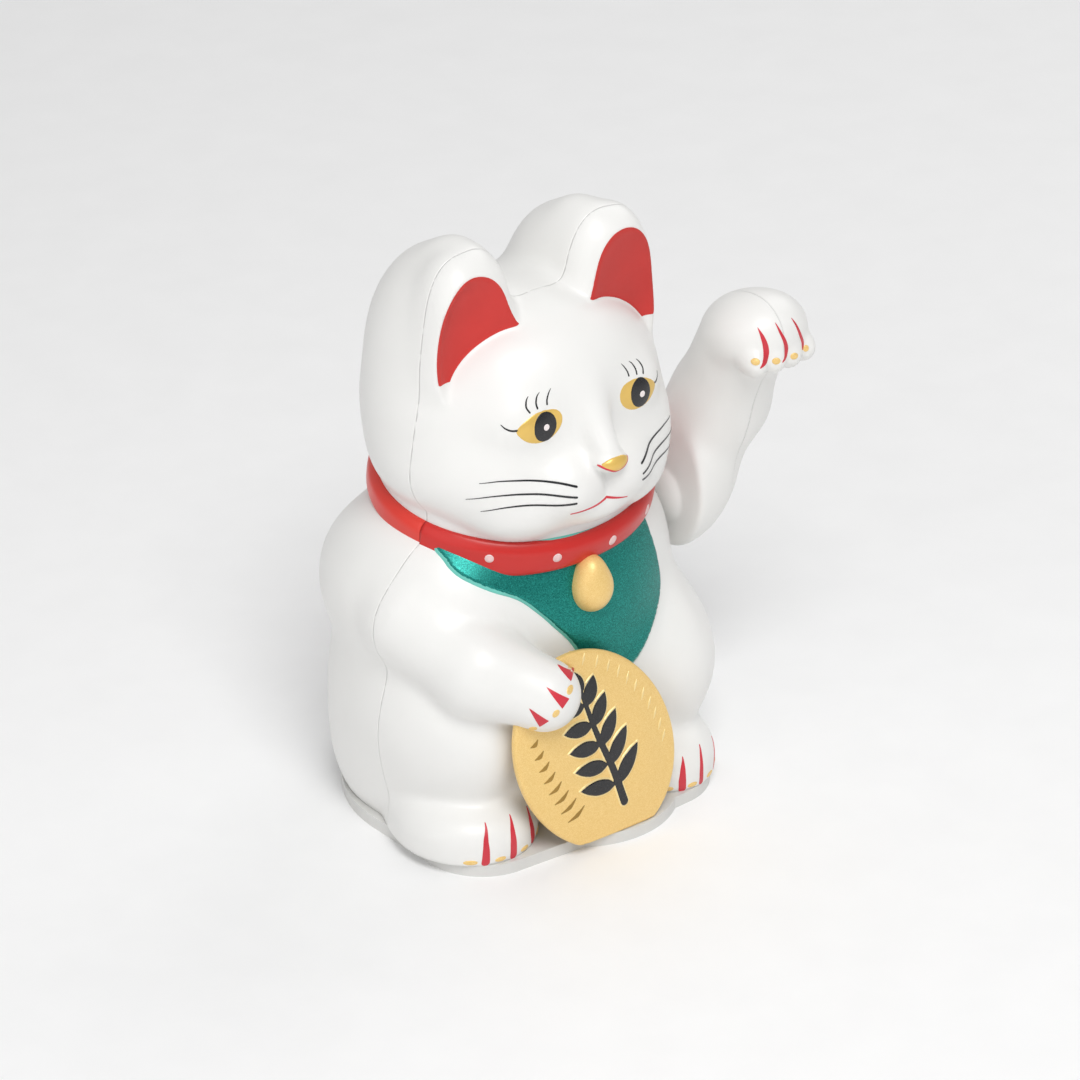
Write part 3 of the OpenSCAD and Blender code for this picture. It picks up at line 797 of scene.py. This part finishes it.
BIB = [(0, 36.5), (6, 36.8), (12.0, 38.3), (18.2, 42.9), (23.0, 48.0), (24.6, 52.5),
       (24.2, 58.0), (23.4, 63.0), (22.6, 67.0), (22.0, 71.0), (20.0, 75.0), (0, 76.0),
       (-20, 76.5), (-30.6, 75.5), (-31.2, 72.2), (-30.4, 70.0), (-28.2, 68.2), (-24.4, 65.9),
       (-18.6, 62.8), (-14.2, 58.6), (-10.4, 54.1), (-6.9, 49.8), (-4.6, 45.5), (-3.6, 41.0),
       (-2.6, 37.6)]
BIB_RIM = 0.4
BIB_BOX = ((-36, -30, 35), (28, 4, 78))
bib_depth = patch(BIB)[0]
coat("bib_edge", "teal_paint", AQUA, lambda p: bib_depth(FRONT.flat(p)), trunk, BIB_BOX,
     grid=0.6, lift=0.7, edge=0.9)
bib_face = coat("bib_face", "teal_paint", TEAL, lambda p: bib_depth(FRONT.flat(p)) - BIB_RIM,
                trunk, BIB_BOX, grid=0.6, lift=0.95, edge=0.6)
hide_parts("bib")


def bell_form(p):
    drop_shape = egg(p, (-0.4, -24.4, 62.0), (5.2, 5.0, 6.0))
    return join(drop_shape, egg(p, (-0.4, -24.0, 66.4), (3.2, 3.6, 3.6)), 3)


bell = make("bell_drop", *surface(bell_form, (-7, -32, 52), (7, -17, 72), 0.35), GOLD)
place(bell, "cat", "gold_paint", "bell")

# ------------------------------------------------------------------ coin

COIN_C = (-6, -33, 25)
COIN_WIDE, COIN_LONG, COIN_THICK = 21, 27, 1.3  # half sizes
COIN_TURN = turn(-8) @ turn(0, -30)


def coin_form(p):
    """An oval plate whose face is domed inside its rim, cut level where it stands."""
    q = (p - vec(*COIN_C)) @ COIN_TURN
    x, y, z = q[..., 0], q[..., 1], q[..., 2]
    rim = (np.sqrt((x / COIN_WIDE) ** 2 + (z / COIN_LONG) ** 2) - 1) * COIN_WIDE
    bulge = 0.8 * ease(0, 1, -rim / 9) - 0.35
    d = cut(rim, -(np.abs(y) - COIN_THICK - np.where(y < 0, bulge, 0)), 1.6)
    return cut(d, -(FLOOR_OF_SHELL + 0.1 - p[..., 2]), 0.4)


coin = make("coin_plate",
            *surface(coin_form, (-33, -47, 0), (22, -22, 54), 0.4), GOLD)
place(coin, "cat", "gold_paint", "coin")


class CoinView(View):
    """The coin's own face, u across and v along its length."""

    def __init__(self):
        self.centre = vec(*COIN_C)
        self.across, self.up = COIN_TURN[:, 0], COIN_TURN[:, 2]
        self.back = -COIN_TURN[:, 1]


FACE = CoinView()
# Dark gold strokes down the coin's left side: painted shade for its notches, laid on the face
# rather than cut into it.
NOTCH_SHADES = []
for i in range(8):
    v, half = 15.0 - 3.3 * i, 1.2 + 0.21 * i
    u = -11.4 - 2.5 * math.sin(math.radians(18 * i))
    NOTCH_SHADES.append(stroke([(u - half, v + 0.35), (u, v), (u + half, v + 0.55)], 0.12, 0.55, 0.12))
paint("coin_notch_shades", "cat", "gold_paint", GOLD_SHADE, NOTCH_SHADES, FACE, coin_form,
      grid=0.15, lift=0.05)
# Raised ridges down the coin's right side, coloured a lighter gold as painted highlight.
RIDGE_HIGHLIGHTS = []
for i in range(11):
    v = 21.0 - 3.3 * i
    u = 18.0 * math.sqrt(1 - (v / COIN_LONG) ** 2) - 0.9
    RIDGE_HIGHLIGHTS.append(stroke([(u - 1.3, v - 0.8), (u, v + 0.1), (u + 1.1, v + 0.9)], 0.1, 0.38, 0.1))
paint("coin_ridge_highlights", "cat", "gold_paint", GOLD_HIGHLIGHT, RIDGE_HIGHLIGHTS, FACE, coin_form,
      grid=0.15, lift=0.25, edge=0.4)


def leaf(u, v, angle, length, width):
    a = math.radians(angle)
    half = [(0, 0.1), (0.2, 0.8), (0.5, 1.0), (0.8, 0.62), (1.0, 0.06)]
    line = half + [(s, -w) for s, w in reversed(half)]
    return patch([(u + s * length * math.cos(a) - w * width * math.sin(a),
                   v + s * length * math.sin(a) + w * width * math.cos(a)) for s, w in line])


def all_of(shapes):
    """Several flat shapes drawn as one."""
    def depth(uv):
        return np.max([s[0](uv) for s in shapes], axis=0)
    return depth, np.min([s[1] for s in shapes], axis=0), np.max([s[2] for s in shapes], axis=0)


def grown(shape, by):
    """A flat shape with a wider outline."""
    depth, low, high = shape
    margin = by + 0.05
    return lambda uv: depth(uv) + by, low - margin, high + margin


SPRIG = [stroke([(-2.3, -15.6), (0.2, -6.3), (2.1, 4.7), (4.8, 15.6)], 1.15, 0.95, 0.6)]
for i in range(5):
    u, v = -1.4 + 1.3 * i, -10.7 + 5.6 * i
    SPRIG.append(leaf(u + 0.2, v, 22 + 4 * i, 10.8 - 0.85 * i, 2.0))
    SPRIG.append(leaf(u - 0.2, v + 0.6, 142 + 2 * i, 10.0 - 0.6 * i, 2.0))
SPRIG.append(leaf(4.7, 15.2, 78, 6.5, 1.9))
sprig = all_of(SPRIG)
leaves = paint("coin_leaves", "cat", "black_paint", INK, [sprig], FACE, coin_form,
               grid=0.2, lift=0.38, edge=0.25)
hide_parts("coin_sprig")
# A raised gold rim round the leaves, coloured lighter as painted highlight.
paint("coin_leaf_rim_highlight", "cat", "gold_paint", GOLD_HIGHLIGHT, [grown(sprig, 0.35)], FACE, coin_form,
      grid=0.2, lift=0.22, edge=0.3)

# ------------------------------------------------------------------ paws

TOES = [stroke([(-33.4, 12.7), (-34.8, 9.7), (-35.1, 7.1), (-35.2, 3.9)], 0.1, 0.5, 0.75, 0.9),
        stroke([(-26.8, 12.7), (-27.9, 10.2), (-28.2, 7.3), (-28.2, 3.9)], 0.1, 0.6, 0.9, 0.95),
        stroke([(-20.8, 12.0), (-21.4, 9.4), (-21.2, 6.8), (-20.8, 4.2)], 0.1, 0.6, 0.9, 0.9),
        stroke([(22.2, 11.4), (21.4, 8.9), (21.1, 6.0), (21.2, 3.7)], 0.1, 0.6, 0.9, 0.9),
        stroke([(28.2, 12.1), (27.1, 10.0), (26.6, 7.1), (26.6, 3.7)], 0.1, 0.4, 0.6, 0.65),
        stroke([(34.8, 10.3), (34.0, 8.3), (33.4, 6.0), (33.2, 3.8)], 0.1, 0.4, 0.55, 0.6)]
paint("foot_stripes", "cat", "red_paint", STRIPE_RED, TOES, FRONT, body, grid=0.18, lift=0.06)
NAILS = [disc(u, 4.1, 1.4, 0.7) for u in (-38.2, -31.7, -24.5, -17.4, 17.8, 23.9, 30.2, 36.0)]
paint("foot_nails", "cat", "gold_paint", GOLD, NAILS, FRONT, body, grid=0.2, lift=0.22, edge=0.5)

PAW = View(-40, 20, PAW_C)
WEDGES = [patch(w, False) for w in (
    [(2.8, 7.7), (6.7, 5.6), (6.3, 3.9)],
    [(0.7, 3.3), (6.0, 0.3), (4.5, -1.9)],
    [(-3.1, -1.6), (1.5, -4.8), (-0.6, -6.4)])]
paint("paw_stripes", "cat", "red_paint", STRIPE_RED, WEDGES, PAW, body, grid=0.18, lift=0.06)
CLAWS = [disc(5.7, 7.2, 0.7, 1.1, 20), disc(6.1, 2.2, 0.7, 1.1, -15),
         disc(3.1, -3.0, 0.7, 1.1, -35), disc(-2.2, -7.2, 1.1, 0.65, 20)]
paint("paw_claws", "cat", "gold_paint", GOLD, CLAWS, PAW, body, grid=0.18, lift=0.15, edge=0.4)

HAND = View(-20, 10, (56, -20, 106))
STRIPES = [stroke([(-5.5, 5.1), (-4.7, 2.9), (-4.1, 0.7), (-4.0, -1.1), (-4.6, -2.7), (-5.9, -4.0)],
                  0.06, 0.45, 0.64, 0.74, 0.68, 0.15),
           stroke([(-1.3, 5.7), (-0.4, 3.5), (0.6, 1.2), (1.1, -0.8), (0.8, -2.7), (-0.2, -3.7)],
                  0.08, 0.3, 0.44, 0.5, 0.42, 0.1),
           stroke([(3.1, 5.9), (4.1, 4.1), (5.1, 1.7), (6.0, -0.5), (6.0, -2.2)],
                  0.06, 0.24, 0.36, 0.4, 0.3)]
paint("hand_stripes", "arm", "red_paint", STRIPE_RED, STRIPES, HAND, raised_arm,
      grid=0.15, lift=0.06)
FINGERTIPS = [disc(-6.9, -2.5, 1.0, 0.85), disc(-1.7, -3.2, 1.0, 0.85), disc(3.2, -3.1, 1.0, 0.85),
              disc(6.9, -2.4, 0.8, 0.85)]
paint("hand_claws", "arm", "gold_paint", GOLD, FINGERTIPS, HAND, raised_arm,
      grid=0.15, lift=0.2, edge=0.4)

# ------------------------------------------------------------------ CAD nodes kept

KEPT = {"base_plate": GREY, "base_screws": STEEL, "battery_door": GREY, "battery_cell": CELL,
        "contact_plate": STEEL, "contact_spring": STEEL, "switch_case": STEEL, "switch_knob": BLACK,
        "swing_lever": GREY, "axle": STEEL, "magnet": CHROME, "counterweight": STEEL,
        "axle_frame": GREY, "frame_screws": STEEL, "coil_bobbin": IVORY, "coil_winding": COPPER,
        "circuit_board": BOARD, "board_parts": BLACK, "board_screws": STEEL,
        "lead_red": LEAD_RED, "lead_black": LEAD_BLACK}
for node, mat in KEPT.items():
    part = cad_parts[node]
    if not part.material_slots:
        part.data.materials.append(mat)
    for entry in part.material_slots:
        entry.material = mat

# ------------------------------------------------------------------ studio


def look(azimuth, elevation, lens, distance, across, above):
    """A camera some way from the origin, then moved across and above it; all in millimetres."""
    a, e = math.radians(azimuth), math.radians(elevation)
    back = Vector((math.sin(a) * math.cos(e), -math.cos(a) * math.cos(e), math.sin(e)))
    right = Vector((math.cos(a), math.sin(a), 0))
    up = back.cross(right)
    cam = bpy.data.cameras.new("camera")
    cam.lens = lens
    cam.sensor_width = 36
    cam.clip_end = 20
    ob = bpy.data.objects.new("camera", cam)
    m = Matrix((right, up, back)).transposed().to_4x4()
    m.translation = (across * right + above * up + distance * back) * MM
    ob.matrix_world = m
    bpy.context.scene.collection.objects.link(ob)
    bpy.context.scene.camera = ob


def lamp(name, at, size, power):
    """A round soft light aimed at the middle of the cat; places and sizes are in metres."""
    data = bpy.data.lights.new(name, "AREA")
    data.shape = "DISK"
    data.size = size
    data.energy = power
    ob = bpy.data.objects.new(name, data)
    ob.location = at
    ob.rotation_euler = (Vector((0, 0, 0.08)) - Vector(at)).to_track_quat("-Z", "Y").to_euler()
    bpy.context.scene.collection.objects.link(ob)


look(-37.5, 28.5, lens=173.333, distance=1232.23, across=2.844, above=55.687)
lamp("key", (-0.35, -0.75, 1.2), 0.7, 11)
lamp("fill", (-1.2, -0.4, 0.6), 1.2, 2.5)
lamp("rim", (0.9, 0.3, 0.9), 0.8, 2.5)
world = bpy.data.worlds.new("world")
bpy.context.scene.world = world
world.use_nodes = True
world.node_tree.nodes["Background"].inputs["Color"].default_value = (1, 1, 1, 1)
world.node_tree.nodes["Background"].inputs["Strength"].default_value = 0.45

floor = make("floor", [(-3000, -3000, 0), (3000, -3000, 0), (3000, 3000, 0), (-3000, 3000, 0)],
             [(0, 1, 2, 3)], finish_of("floor", (0.93, 0.93, 0.93), 0.6, spread=0.01))
bpy.context.scene.view_settings.view_transform = "Standard"
